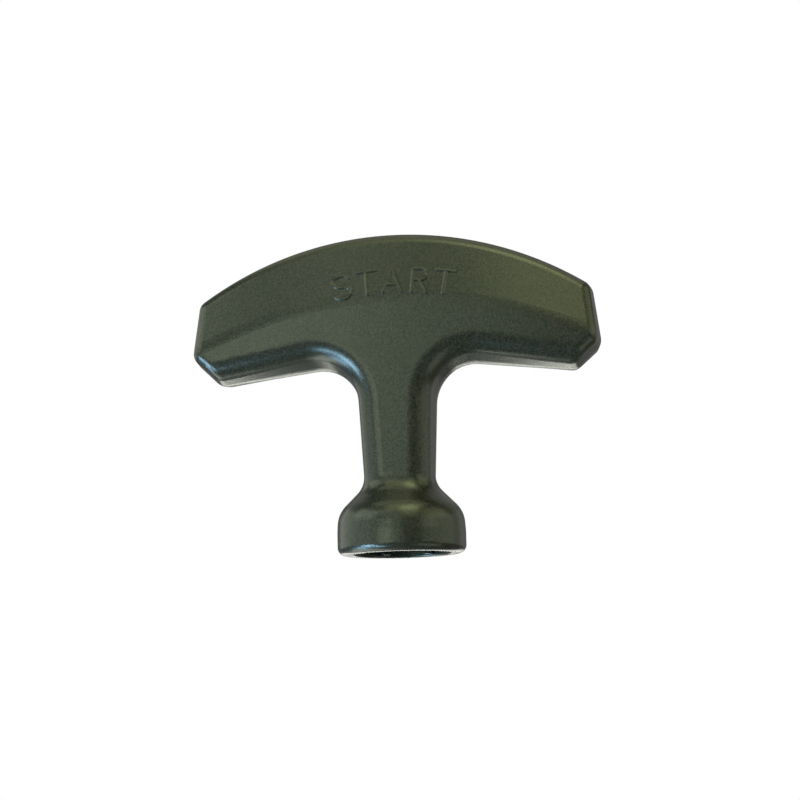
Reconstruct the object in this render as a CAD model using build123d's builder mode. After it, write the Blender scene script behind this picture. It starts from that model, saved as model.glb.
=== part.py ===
"""Recoil starter handle: a T grip, its stem and its flared hollow foot, moulded as one piece.

The handle stands on the rim of its foot. The origin is the centre of that rim, Z runs up the
rope, X along the wings and -Y is the front, the side that carries the word.
"""

from build123d import *

import os
from math import cos, radians, sqrt, tan

# Overall form of the T, seen from the front, at the parting plane; drops count from the crown
crown_height = 79.2
crown_radius = 87.0
end_foot_x = 50.9
end_rake = 1.7
end_foot_drop = 29.4
end_chamfer = 6.2
underside_rise = 2.6
root_radius = 9.5
stem_head_width = 19.3
stem_head_drop = 39.2
stem_neck_width = 17.4
stem_neck_z = 19.0

# Depth of the T and the two zones of its face, which meet in a soft crease
face_depth = 12.0
crease_drop = 17.0
crease_fall = 9.0
crease_reach = 45.0
lower_bow_radius = 600.0
lower_lean = 4.0
upper_lean = 10.0
crease_rounding = 12.0

# Draft of the walls, from the parting plane to the face
crown_draft = 5.0
end_draft = 5.0
stem_draft = 4.5
underside_root_draft = 17.0
underside_tip_draft = 7.0
face_root_radius = 12.2

# Rounded edges of the T
grip_edge_radius = 5.6
crown_edge_radius = 3.0
ridge_rounding = 10.0

# Flared foot, a body of revolution
foot_radius = 15.8
foot_barrel_taper = 0.3
foot_shoulder_z = 10.2
foot_shoulder_radius = 7.0
foot_cone_angle = 45.0
barrel_top_z = 5.4
foot_rim_radius = 2.0
foot_blend_radius = 6.0

# Hollow of the foot, with short ribs on its wall
foot_wall = 3.8
cup_depth = 10.5
cup_draft = 1.5
cup_corner_radius = 1.5
cup_mouth_radius = 0.5
rib_count = 6
rib_reach = 2.4
rib_width = 1.8
rib_recess = 0.6

# Rope way: a bore up the stem and a round pocket for the knot, open at the crown
rope_bore_radius = 2.75
rope_mouth_radius = 1.2
knot_pocket_radius = 5.25
knot_pocket_depth = 20.0
knot_mouth_radius = 0.8

# How far construction shapes run past the finished surfaces
overrun = 2.0

# How near an edge lies to a plane or a circle to count as on it
tolerance = 0.01

# Greatest angle between a direction and an axis to count as facing or running that way
alignment_angle = 25.0

# Levels, reaches and radii that follow from the sizes above
end_top_x = end_foot_x - end_rake
end_foot_z = crown_height - end_foot_drop
underside_tip_z = end_foot_z - end_chamfer
stem_head_z = crown_height - stem_head_drop
crease_z = crown_height - crease_drop
foot_neck_radius = foot_radius - foot_barrel_taper
cup_radius = foot_radius - foot_wall
alignment = cos(radians(alignment_angle))


def slope(angle):
    """Sideways travel for each millimetre, for a surface that leans by an angle in degrees."""
    return tan(radians(angle))


def tee_outline(depth, corner_radius):
    """T outline on a plane that lies depth in front of the parting plane, its walls drafted in."""
    crown_r = crown_radius - depth * slope(crown_draft)
    crown_centre_z = crown_height - crown_radius
    end_inset = depth * slope(end_draft)
    top_x = end_top_x - end_inset
    top_z = crown_centre_z + sqrt(crown_r**2 - top_x**2)
    foot_x = end_foot_x - end_inset
    tip_x = end_foot_x - end_chamfer - end_inset
    tip_z = underside_tip_z + depth * slope(underside_tip_draft)
    root_x = stem_head_width
    root_z = underside_tip_z + underside_rise + depth * slope(underside_root_draft)
    underside_slope = (root_z - tip_z) / (tip_x - root_x)
    stem_slope = (stem_head_width - stem_neck_width) / 2 / (stem_head_z - stem_neck_z)
    head_x = stem_head_width / 2 - depth * slope(stem_draft)
    # The corner under the wing is where the underside's line crosses the stem's line
    corner_z = tip_z + underside_slope * (tip_x - head_x + stem_head_z * stem_slope)
    corner_z /= 1 + underside_slope * stem_slope
    corner_x = head_x + (corner_z - stem_head_z) * stem_slope
    low_x = head_x + (foot_shoulder_z - stem_head_z) * stem_slope
    with BuildSketch(Plane.XZ.offset(depth)) as outline:
        with BuildLine():
            FilletPolyline(
                (tip_x, tip_z), (corner_x, corner_z), (low_x, foot_shoulder_z), radius=corner_radius
            )
            Polyline((top_x, top_z), (foot_x, end_foot_z), (tip_x, tip_z))
            mirror(about=Plane.YZ)
            RadiusArc((-top_x, top_z), (top_x, top_z), crown_r)
            Line((-low_x, foot_shoulder_z), (low_x, foot_shoulder_z))
        make_face()
    return outline.sketch


def face_slab(bow_radius, lean):
    """Slab behind one zone of the face: bowed from side to side, leaning back with height."""
    half_length = end_foot_x + overrun
    bow_sag = bow_radius - sqrt(bow_radius**2 - half_length**2)
    front_y = -face_depth - crease_z * slope(lean)
    back_y = crown_height + front_y
    with BuildPart() as slab:
        with BuildSketch(Plane.XY):
            with BuildLine():
                ThreePointArc(
                    (-half_length, front_y + bow_sag), (0, front_y), (half_length, front_y + bow_sag)
                )
                Polyline(
                    (half_length, front_y + bow_sag),
                    (half_length, back_y),
                    (-half_length, back_y),
                    (-half_length, front_y + bow_sag),
                )
            make_face()
        extrude(amount=crown_height + overrun, dir=Vector(0, slope(lean), 1))
    return slab.part


def face_zones(part):
    """The zones of the face: large, and turned to the front."""
    return part.faces().filter_by(
        lambda face: face.normal_at().Y < -alignment and face.area > face_depth**2
    )


def face_rim(part):
    """Edges that bound the face as a whole, without those between its zones and at its foot."""
    edges = [edge for face in face_zones(part) for edge in face.edges()]
    outer = [edge for edge in edges if sum(other.is_same(edge) for other in edges) == 1]
    return ShapeList(outer).filter_by(lambda edge: edge.center().Z > foot_shoulder_z + tolerance)


def crease_edges(part):
    """Edges where two zones of the face meet."""
    zones = face_zones(part)
    return ShapeList(zones[0].edges()).filter_by(
        lambda edge: any(other.is_same(edge) for other in zones[1].edges())
    )


def parting_edges(part):
    """The ridge where the two drafted halves meet."""
    return part.edges().filter_by(
        lambda edge: abs(edge.center().Y) < tolerance and abs(edge.tangent_at(0.5).Y) < tolerance
    )


def ring_edges(part, radius, low_z, high_z):
    """Edges that run round the Z axis at one radius, between two heights."""

    def on_ring(edge):
        points = [edge @ 0, edge @ 0.5]
        return all(
            abs(Vector(point.X, point.Y).length - radius) < tolerance
            and low_z - tolerance < point.Z < high_z + tolerance
            for point in points
        )

    return part.edges().filter_by(on_ring)


def under_wing(edge):
    """Whether an edge belongs to the grip's hollow side: stem, corner or underside."""
    middle = edge.center()
    return abs(middle.X) < end_foot_x - end_chamfer and middle.Z < crease_z - crease_fall


# The upper zone's bow follows from how far the crease falls towards the ends
crease_curve = crease_fall / crease_reach**2 * (slope(lower_lean) + slope(upper_lean))
upper_bow_radius = 1 / (2 * crease_curve + 1 / lower_bow_radius)

# Front half of the T
with BuildPart() as front_half:
    loft(
        [tee_outline(0, root_radius), tee_outline(face_depth + overrun, face_root_radius)],
        ruled=True,
    )
    add(face_slab(lower_bow_radius, -lower_lean), mode=Mode.INTERSECT)
    add(face_slab(upper_bow_radius, upper_lean), mode=Mode.INTERSECT)
    fillet(crease_edges(front_half.part), crease_rounding)
    fillet(face_rim(front_half.part).filter_by(under_wing), grip_edge_radius)
    outer_edges = face_rim(front_half.part).filter_by(lambda edge: not under_wing(edge))
    end_corners = front_half.edges().filter_by(
        lambda edge: abs(edge.tangent_at(0.5).Y) > alignment and abs(edge.center().X) > stem_head_width
    )
    fillet(outer_edges + end_corners, crown_edge_radius)

# Solid shape of the foot
cone_slope = slope(foot_cone_angle)
cone_top_radius = stem_neck_width / 2 - overrun
cone_top_z = foot_shoulder_z + (foot_neck_radius - cone_top_radius) * cone_slope
with BuildPart() as foot:
    with BuildSketch(Plane.XZ) as foot_profile:
        with BuildLine():
            FilletPolyline(
                (cup_radius, 0),
                (foot_radius, 0),
                (foot_radius, barrel_top_z),
                (foot_neck_radius, foot_shoulder_z),
                (cone_top_radius, cone_top_z),
                radius=[foot_rim_radius, foot_shoulder_radius, foot_shoulder_radius],
            )
            Polyline(
                (cone_top_radius, cone_top_z),
                (0, cone_top_z),
                (0, 0),
                (cup_radius, 0),
            )
        make_face()
    revolve(axis=Axis.Z)

# Hollow of the foot, without the ribs that stand on its wall
cup_ceiling_radius = cup_radius - cup_depth * slope(cup_draft)
with BuildPart() as cup:
    Cone(cup_radius, cup_ceiling_radius, cup_depth, align=(Align.CENTER, Align.CENTER, Align.MIN))
    fillet(cup.edges().group_by(Axis.Z)[-1], cup_corner_radius)
    with BuildSketch(Plane.XY.offset(rib_recess)):
        with PolarLocations(cup_radius, rib_count):
            Rectangle(2 * rib_reach, rib_width)
    extrude(amount=cup_depth, mode=Mode.SUBTRACT)

# The finished handle
with BuildPart() as handle:
    add(front_half.part)
    mirror(about=Plane.XZ)
    fillet(parting_edges(handle.part), ridge_rounding)
    add(foot.part)
    fillet(handle.edges(Select.NEW), foot_blend_radius)
    add(cup.part, mode=Mode.SUBTRACT)
    with Locations((0, 0, crown_height)):
        CounterBoreHole(rope_bore_radius, knot_pocket_radius, knot_pocket_depth)
    fillet(ring_edges(handle.part, cup_radius, 0, 0), cup_mouth_radius)
    fillet(ring_edges(handle.part, rope_bore_radius, cup_depth, cup_depth), rope_mouth_radius)
    mouth_low_z = crown_height - knot_pocket_radius
    fillet(
        ring_edges(handle.part, knot_pocket_radius, mouth_low_z, crown_height), knot_mouth_radius
    )

os.makedirs("parts", exist_ok=True)
handle.part.label = "handle"
export_step(handle.part, "parts/handle.step")
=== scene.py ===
"""Looks of the recoil starter handle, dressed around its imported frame."""

import math

import bpy
from mathutils import Matrix, Vector


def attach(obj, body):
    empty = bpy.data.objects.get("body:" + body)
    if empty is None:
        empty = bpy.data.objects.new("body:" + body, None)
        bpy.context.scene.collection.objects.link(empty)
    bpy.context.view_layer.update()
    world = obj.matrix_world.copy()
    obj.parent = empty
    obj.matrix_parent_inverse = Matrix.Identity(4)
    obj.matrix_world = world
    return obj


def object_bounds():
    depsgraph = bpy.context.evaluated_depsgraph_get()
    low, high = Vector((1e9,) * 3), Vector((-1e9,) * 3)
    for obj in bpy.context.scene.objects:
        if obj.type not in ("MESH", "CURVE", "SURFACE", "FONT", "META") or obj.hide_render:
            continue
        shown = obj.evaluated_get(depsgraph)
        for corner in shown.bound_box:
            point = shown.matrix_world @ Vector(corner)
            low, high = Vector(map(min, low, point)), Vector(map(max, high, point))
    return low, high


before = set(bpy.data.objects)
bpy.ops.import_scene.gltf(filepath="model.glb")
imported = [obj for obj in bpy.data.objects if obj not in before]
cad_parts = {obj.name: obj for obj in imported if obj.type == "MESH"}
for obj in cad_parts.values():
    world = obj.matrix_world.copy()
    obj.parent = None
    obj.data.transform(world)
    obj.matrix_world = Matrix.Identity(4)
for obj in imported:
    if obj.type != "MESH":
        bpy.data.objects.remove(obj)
cad_low, cad_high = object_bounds()
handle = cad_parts["handle"]

MM = 0.001

# Where the photograph was taken from: a little right of square, and from below the grip
CAMERA_AZIMUTH = math.radians(7.6)
CAMERA_ELEVATION = math.radians(-9.0)
CAMERA_ROLL = math.radians(1.55)
CAMERA_DISTANCE = 450 * MM
CAMERA_LENS = 81.56
CAMERA_SENSOR = 36.0
CAMERA_SHIFT = (0.0025, -0.0065)
CAMERA_TARGET = Vector((0, 0, 39.6)) * MM
CAMERA_NEAR_LIMIT = 10 * MM

# Moulded plastic of the handle: near black, its two tones mottled, with an olive sheen
PLASTIC_GREEN = (0.006, 0.012, 0.006, 1)
PLASTIC_BROWN = (0.030, 0.028, 0.021, 1)
SHEEN_COLOUR = (0.84, 1.0, 0.76, 1)
SHEEN_LEVEL = 0.65
ROUGHNESS_RANGE = (0.24, 0.30)
GRAIN_DEPTH = 0.020 * MM

# Noise patterns of the spark-eroded mould: name, size and levels of detail
MOULD_PATTERNS = [
    ("Pits", 0.45 * MM, 2),
    ("Mottle", 0.55 * MM, 3),
    ("Clouds", 14 * MM, 2),
]

# Part of each noise that is spread over the whole change of tone, and of roughness
MOTTLE_SPREAD = (0.35, 0.65)
CLOUD_SPREAD = (0.2, 0.8)

# Raised word on the front: the middle of its arc in X and Z, and the size of its strokes
WORD_MIDDLE = (1.1 * MM, 66.1 * MM)
WORD_ARC_RADIUS = 80 * MM
FACE_LEAN = math.radians(10)
LETTER_HEIGHT = 6.0 * MM
STROKE_WIDTH = 1.35 * MM
STROKE_RISE = 0.31 * MM
STROKE_FLANK = 0.62 * MM
STROKE_SINK = 0.05 * MM
LETTER_STEP = 0.08 * MM
BEND_STEPS = 14

# Colours of the light: from a window, from open ground, from pale walls, from warm walls
# and from the ceiling
WINDOW_LIGHT = (0.40, 0.60, 1.0)
GROUND_LIGHT = (1.0, 1.0, 0.96)
WALL_LIGHT = (1.0, 1.0, 0.92)
WARM_LIGHT = (1.0, 0.95, 0.58)
CEILING_LIGHT = (1.0, 0.96, 0.75)

# Lamps: name, azimuth from the front to the right and elevation in degrees,
# width and height in metres, brightness, colour
LAMP_DISTANCE = 0.8
LAMPS = [
    ("window_left", -60, -30, 0.28, 0.30, 21.0, WINDOW_LIGHT),
    ("window_low", -45, -49, 0.20, 0.20, 14.0, WINDOW_LIGHT),
    ("window_far_left", -88, -43, 0.26, 0.28, 10.0, WINDOW_LIGHT),
    ("ground_left", -128, -54, 0.50, 0.44, 2.2, GROUND_LIGHT),
    ("behind_low", -174, -20, 0.50, 0.20, 2.9, WALL_LIGHT),
    ("wall_left", -108, 8, 0.80, 0.60, 0.85, WALL_LIGHT),
    ("wall_left_front", -62, 6, 0.50, 0.44, 0.75, WALL_LIGHT),
    ("left_high", -66, 30, 0.64, 0.34, 1.5, WALL_LIGHT),
    ("front_left", -24, -1, 0.36, 0.30, 1.7, WALL_LIGHT),
    ("front_left_high", -28, 33, 0.40, 0.34, 0.6, WALL_LIGHT),
    ("front", -6, 10, 0.36, 0.40, 0.75, WALL_LIGHT),
    ("front_high", -2, 36, 0.50, 0.30, 0.35, WALL_LIGHT),
    ("warm_high", 24, 34, 0.34, 0.32, 1.35, WARM_LIGHT),
    ("warm_arch", 12, 56, 0.80, 0.36, 1.2, WARM_LIGHT),
    ("warm_small", 26, 54, 0.34, 0.24, 2.6, WARM_LIGHT),
    ("warm_end", 78, 28, 0.64, 0.36, 0.9, WARM_LIGHT),
    ("right_front", 56, 10, 0.34, 0.24, 1.05, WALL_LIGHT),
    ("right_low", 64, -40, 0.54, 0.36, 0.8, WALL_LIGHT),
    ("wall_right", 92, 3, 0.74, 0.50, 0.65, WALL_LIGHT),
    ("end_right", 138, 4, 0.40, 0.50, 0.35, WALL_LIGHT),
    ("overhead", 0, 90, 1.00, 0.70, 0.8, CEILING_LIGHT),
    ("behind_left", -150, 40, 0.60, 0.50, 0.25, GROUND_LIGHT),
    ("behind_right", 150, 40, 0.60, 0.50, 0.25, GROUND_LIGHT),
]

# Room round the lamps, and the white backdrop: how strongly reflections show it, and how
# squarely to the back a ray must run for it to begin and to be full
ROOM_COLOUR = (0.12, 0.12, 0.12, 1)
BACKDROP_COLOUR = (1, 1, 1, 1)
BACKDROP_IN_REFLECTIONS = 0.15
BACKDROP_EDGE = (0.80, 1.0)

# Floor: its colour to the light, and to the camera the part that shades and the part that doesn't
FLOOR_COLOUR = (0.82, 0.82, 0.81, 1)
FLOOR_SHADE = (0.46, 0.47, 0.56, 1)
FLOOR_GLOW = (0.54, 0.54, 0.54, 1)
FLOOR_SIZE = 4.0

# Distances from the handle between which the floor fades into the white around it
FLOOR_FADE = (0.30, 0.70)


def arc_points(centre, radius, start, end):
    """Points of an ellipse arc, its angles in degrees."""
    points = []
    for index in range(BEND_STEPS + 1):
        angle = math.radians(start + (end - start) * index / BEND_STEPS)
        points.append((centre[0] + radius[0] * math.cos(angle), centre[1] + radius[1] * math.sin(angle)))
    return points


# Strokes of the letters in a box one wide and one high, with each letter's width
# and the place of its middle along the arc
LETTERS = [
    {
        "middle": -12.75 * MM,
        "width": 4.2 * MM,
        "strokes": [
            arc_points((0.5, 0.75), (0.5, 0.25), 25, 270)
            + arc_points((0.5, 0.25), (0.5, 0.25), 90, -155)[1:],
        ],
    },
    {
        "middle": -6.65 * MM,
        "width": 4.7 * MM,
        "strokes": [[(0, 1), (1, 1)], [(0.5, 1), (0.5, 0)]],
    },
    {
        "middle": -0.35 * MM,
        "width": 4.4 * MM,
        "strokes": [[(0, 0), (0.5, 1), (1, 0)], [(0.17, 0.34), (0.83, 0.34)]],
    },
    {
        "middle": 6.45 * MM,
        "width": 3.5 * MM,
        "strokes": [
            [(0, 0), (0, 1), (0.55, 1)]
            + arc_points((0.55, 0.76), (0.45, 0.24), 90, -90)[1:]
            + [(0, 0.52)],
            [(0.45, 0.52), (1, 0)],
        ],
    },
    {
        "middle": 12.6 * MM,
        "width": 4.7 * MM,
        "strokes": [[(0, 1), (1, 1)], [(0.5, 1), (0.5, 0)]],
    },
]


def direction(azimuth, elevation):
    """Unit vector out from the handle, its azimuth counted from the front to the right."""
    return Vector((
        math.sin(azimuth) * math.cos(elevation),
        -math.cos(azimuth) * math.cos(elevation),
        math.sin(elevation),
    ))


def stroke_pieces(letter):
    """Straight pieces that make up a letter's strokes, measured from the letter's middle."""
    pieces = []
    for stroke in letter["strokes"]:
        points = [((x - 0.5) * letter["width"], (y - 0.5) * LETTER_HEIGHT) for x, y in stroke]
        pieces += list(zip(points, points[1:]))
    return pieces


def piece_distance(point, start, end):
    """Distance from a point to a straight piece of stroke."""
    run = (end[0] - start[0], end[1] - start[1])
    share = ((point[0] - start[0]) * run[0] + (point[1] - start[1]) * run[1]) / (run[0] ** 2 + run[1] ** 2)
    share = min(1, max(0, share))
    return math.hypot(point[0] - start[0] - share * run[0], point[1] - start[1] - share * run[1])


def stroke_height(distance):
    """Height of a stroke's rounded section above the face, at a distance from its middle line."""
    share = min(1, max(0, (STROKE_WIDTH / 2 - distance) / STROKE_FLANK))
    return STROKE_RISE * share * share * (3 - 2 * share) - STROKE_SINK


def place_on_face(letter, across, up):
    """Point of the handle's face under a place in a letter, or None beside the handle."""
    angle = letter["middle"] / WORD_ARC_RADIUS
    turned = (
        across * math.cos(angle) + up * math.sin(angle),
        up * math.cos(angle) - across * math.sin(angle),
    )
    x = WORD_MIDDLE[0] + WORD_ARC_RADIUS * math.sin(angle) + turned[0]
    z = WORD_MIDDLE[1] + WORD_ARC_RADIUS * (math.cos(angle) - 1) + turned[1]
    in_front = Vector((x, 2 * cad_low.y, z))
    hit, place, _, _ = handle.ray_cast(in_front, Vector((0, 1, 0)))
    return place if hit else None


def raised_word():
    """The word's strokes as one fine skin that follows the face and rises from it."""
    lift = Vector((0, -math.cos(FACE_LEAN), math.sin(FACE_LEAN)))
    places, faces = [], []
    margin = STROKE_WIDTH / 2 + LETTER_STEP
    for letter in LETTERS:
        pieces = stroke_pieces(letter)
        columns = math.ceil((letter["width"] + 2 * margin) / LETTER_STEP)
        rows = math.ceil((LETTER_HEIGHT + 2 * margin) / LETTER_STEP)
        index_of = {}
        for column in range(columns + 1):
            for row in range(rows + 1):
                across = -letter["width"] / 2 - margin + column * LETTER_STEP
                up = -LETTER_HEIGHT / 2 - margin + row * LETTER_STEP
                distance = min(piece_distance((across, up), *piece) for piece in pieces)
                if distance > margin:
                    continue
                place = place_on_face(letter, across, up)
                if place is not None:
                    index_of[column, row] = len(places)
                    places.append(place + lift * stroke_height(distance))
        for column, row in index_of:
            corners = [(column, row), (column + 1, row), (column + 1, row + 1), (column, row + 1)]
            if all(corner in index_of for corner in corners):
                faces.append([index_of[corner] for corner in corners])
    mesh = bpy.data.meshes.new("raised_word")
    mesh.from_pydata(places, [], faces)
    mesh.polygons.foreach_set("use_smooth", [True] * len(faces))
    word = bpy.data.objects.new("raised_word", mesh)
    bpy.context.scene.collection.objects.link(word)
    return word


def point_camera():
    """Camera at the photograph's viewing angle, with the photograph's slight roll."""
    back = direction(CAMERA_AZIMUTH, CAMERA_ELEVATION)
    data = bpy.data.cameras.new("photo_camera")
    data.lens = CAMERA_LENS
    data.sensor_width = CAMERA_SENSOR
    data.shift_x, data.shift_y = CAMERA_SHIFT
    data.clip_start = CAMERA_NEAR_LIMIT
    camera = bpy.data.objects.new("photo_camera", data)
    bpy.context.scene.collection.objects.link(camera)
    turn = (-back).to_track_quat("-Z", "Y").to_matrix() @ Matrix.Rotation(-CAMERA_ROLL, 3, "Z")
    camera.matrix_world = Matrix.Translation(CAMERA_TARGET + back * CAMERA_DISTANCE) @ turn.to_4x4()
    bpy.context.scene.camera = camera


def soft_lamp(name, azimuth, elevation, width, height, brightness, colour):
    """Lamp that faces the middle of the handle with an evenly bright panel."""
    towards = direction(math.radians(azimuth), math.radians(elevation))
    data = bpy.data.lights.new(name, "AREA")
    data.shape = "RECTANGLE"
    data.size, data.size_y = width, height
    data.energy = brightness * math.pi * width * height
    data.color = colour
    lamp = bpy.data.objects.new(name, data)
    bpy.context.scene.collection.objects.link(lamp)
    lamp.location = (cad_low + cad_high) / 2 + towards * LAMP_DISTANCE
    lamp.rotation_euler = towards.to_track_quat("Z", "Y").to_euler()
    lamp.visible_camera = False


def new_material(name):
    """Material without nodes yet, with its lists of nodes and links."""
    material = bpy.data.materials.new(name)
    material.use_nodes = True
    nodes = material.node_tree.nodes
    nodes.clear()
    return material, nodes, material.node_tree.links


def mould_finish():
    """Node group of the spark-eroded finish: fine pits, mottling and slow clouds."""
    group = bpy.data.node_groups.new("mould_finish", "ShaderNodeTree")
    for name, _, _ in MOULD_PATTERNS:
        group.interface.new_socket(name, in_out="OUTPUT", socket_type="NodeSocketFloat")
    nodes, links = group.nodes, group.links
    output = nodes.new("NodeGroupOutput")
    place = nodes.new("ShaderNodeTexCoord")
    for name, size, detail in MOULD_PATTERNS:
        noise = nodes.new("ShaderNodeTexNoise")
        noise.inputs["Scale"].default_value = 1 / size
        noise.inputs["Detail"].default_value = detail
        links.new(place.outputs["Object"], noise.inputs["Vector"])
        links.new(noise.outputs["Fac"], output.inputs[name])
    return group


def moulded_plastic():
    """Dark moulded plastic with a fine grain and a soft sheen."""
    material, nodes, links = new_material("moulded_plastic")
    output = nodes.new("ShaderNodeOutputMaterial")
    shader = nodes.new("ShaderNodeBsdfPrincipled")
    shader.inputs["Specular IOR Level"].default_value = SHEEN_LEVEL
    shader.inputs["Specular Tint"].default_value = SHEEN_COLOUR
    finish = nodes.new("ShaderNodeGroup")
    finish.node_tree = mould_finish()
    grain = nodes.new("ShaderNodeBump")
    grain.inputs["Distance"].default_value = GRAIN_DEPTH
    mottle = nodes.new("ShaderNodeMapRange")
    mottle.inputs["From Min"].default_value, mottle.inputs["From Max"].default_value = MOTTLE_SPREAD
    colour = nodes.new("ShaderNodeMix")
    colour.data_type = "RGBA"
    colour.inputs["A"].default_value = PLASTIC_GREEN
    colour.inputs["B"].default_value = PLASTIC_BROWN
    rough = nodes.new("ShaderNodeMapRange")
    rough.inputs["From Min"].default_value, rough.inputs["From Max"].default_value = CLOUD_SPREAD
    rough.inputs["To Min"].default_value, rough.inputs["To Max"].default_value = ROUGHNESS_RANGE
    links.new(finish.outputs["Pits"], grain.inputs["Height"])
    links.new(finish.outputs["Mottle"], mottle.inputs["Value"])
    links.new(mottle.outputs["Result"], colour.inputs["Factor"])
    links.new(finish.outputs["Clouds"], rough.inputs["Value"])
    links.new(colour.outputs["Result"], shader.inputs["Base Color"])
    links.new(rough.outputs["Result"], shader.inputs["Roughness"])
    links.new(grain.outputs["Normal"], shader.inputs["Normal"])
    links.new(shader.outputs["BSDF"], output.inputs["Surface"])
    return material


def pale_floor():
    """Paint of the floor, which fades into the white around it and is clear to the camera from below."""
    material, nodes, links = new_material("pale_floor")
    output = nodes.new("ShaderNodeOutputMaterial")
    paint = nodes.new("ShaderNodeBsdfDiffuse")
    paint.inputs["Color"].default_value = FLOOR_COLOUR
    shade = nodes.new("ShaderNodeBsdfDiffuse")
    shade.inputs["Color"].default_value = FLOOR_SHADE
    glow = nodes.new("ShaderNodeEmission")
    glow.inputs["Color"].default_value = FLOOR_GLOW
    seen = nodes.new("ShaderNodeAddShader")
    clear = nodes.new("ShaderNodeBsdfTransparent")
    path = nodes.new("ShaderNodeLightPath")
    side = nodes.new("ShaderNodeNewGeometry")
    place = nodes.new("ShaderNodeTexCoord")
    reach = nodes.new("ShaderNodeVectorMath")
    reach.operation = "LENGTH"
    fade = nodes.new("ShaderNodeMapRange")
    fade.interpolation_type = "SMOOTHSTEP"
    fade.inputs["From Min"].default_value, fade.inputs["From Max"].default_value = FLOOR_FADE
    hidden = nodes.new("ShaderNodeMath")
    hidden.operation = "MAXIMUM"
    to_camera = nodes.new("ShaderNodeMixShader")
    by_ray = nodes.new("ShaderNodeMixShader")
    links.new(place.outputs["Object"], reach.inputs[0])
    links.new(reach.outputs["Value"], fade.inputs["Value"])
    links.new(side.outputs["Backfacing"], hidden.inputs[0])
    links.new(fade.outputs["Result"], hidden.inputs[1])
    links.new(shade.outputs["BSDF"], seen.inputs[0])
    links.new(glow.outputs["Emission"], seen.inputs[1])
    links.new(hidden.outputs["Value"], to_camera.inputs["Fac"])
    links.new(seen.outputs["Shader"], to_camera.inputs[1])
    links.new(clear.outputs["BSDF"], to_camera.inputs[2])
    links.new(path.outputs["Is Camera Ray"], by_ray.inputs["Fac"])
    links.new(paint.outputs["BSDF"], by_ray.inputs[1])
    links.new(to_camera.outputs["Shader"], by_ray.inputs[2])
    links.new(by_ray.outputs["Shader"], output.inputs["Surface"])
    return material


def lay_floor():
    """Flat floor under the foot, which hides no lamp and shows in no reflection."""
    half = FLOOR_SIZE / 2
    corners = [(-half, -half, 0), (half, -half, 0), (half, half, 0), (-half, half, 0)]
    mesh = bpy.data.meshes.new("floor")
    mesh.from_pydata(corners, [], [(0, 1, 2, 3)])
    mesh.materials.append(pale_floor())
    sheet = bpy.data.objects.new("floor", mesh)
    bpy.context.scene.collection.objects.link(sheet)
    sheet.visible_shadow = False
    sheet.visible_glossy = False


def surroundings():
    """White to the camera; to reflections a dim room with a faint white backdrop behind the handle."""
    world = bpy.data.worlds.new("studio")
    bpy.context.scene.world = world
    world.use_nodes = True
    nodes, links = world.node_tree.nodes, world.node_tree.links
    nodes.clear()
    output = nodes.new("ShaderNodeOutputWorld")
    backdrop = nodes.new("ShaderNodeBackground")
    backdrop.inputs["Color"].default_value = BACKDROP_COLOUR
    room = nodes.new("ShaderNodeBackground")
    room.inputs["Color"].default_value = ROOM_COLOUR
    path = nodes.new("ShaderNodeLightPath")
    place = nodes.new("ShaderNodeTexCoord")
    split = nodes.new("ShaderNodeSeparateXYZ")
    behind = nodes.new("ShaderNodeMapRange")
    behind.interpolation_type = "SMOOTHSTEP"
    behind.inputs["From Min"].default_value, behind.inputs["From Max"].default_value = BACKDROP_EDGE
    behind.inputs["To Max"].default_value = BACKDROP_IN_REFLECTIONS
    mirrored = nodes.new("ShaderNodeMath")
    mirrored.operation = "MAXIMUM"
    reflected = nodes.new("ShaderNodeMath")
    reflected.operation = "MULTIPLY"
    seen = nodes.new("ShaderNodeMath")
    seen.operation = "MAXIMUM"
    mix = nodes.new("ShaderNodeMixShader")
    links.new(place.outputs["Generated"], split.inputs["Vector"])
    links.new(split.outputs["Y"], behind.inputs["Value"])
    links.new(path.outputs["Is Glossy Ray"], mirrored.inputs[0])
    links.new(path.outputs["Is Transmission Ray"], mirrored.inputs[1])
    links.new(mirrored.outputs["Value"], reflected.inputs[0])
    links.new(behind.outputs["Result"], reflected.inputs[1])
    links.new(path.outputs["Is Camera Ray"], seen.inputs[0])
    links.new(reflected.outputs["Value"], seen.inputs[1])
    links.new(seen.outputs["Value"], mix.inputs["Fac"])
    links.new(room.outputs["Background"], mix.inputs[1])
    links.new(backdrop.outputs["Background"], mix.inputs[2])
    links.new(mix.outputs["Shader"], output.inputs["Surface"])


plastic = moulded_plastic()
handle.data.materials.clear()
handle.data.materials.append(plastic)
word = raised_word()
word.data.materials.append(plastic)
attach(word, "root")

for lamp in LAMPS:
    soft_lamp(*lamp)
lay_floor()
surroundings()
point_camera()
bpy.context.scene.view_settings.view_transform = "Standard"
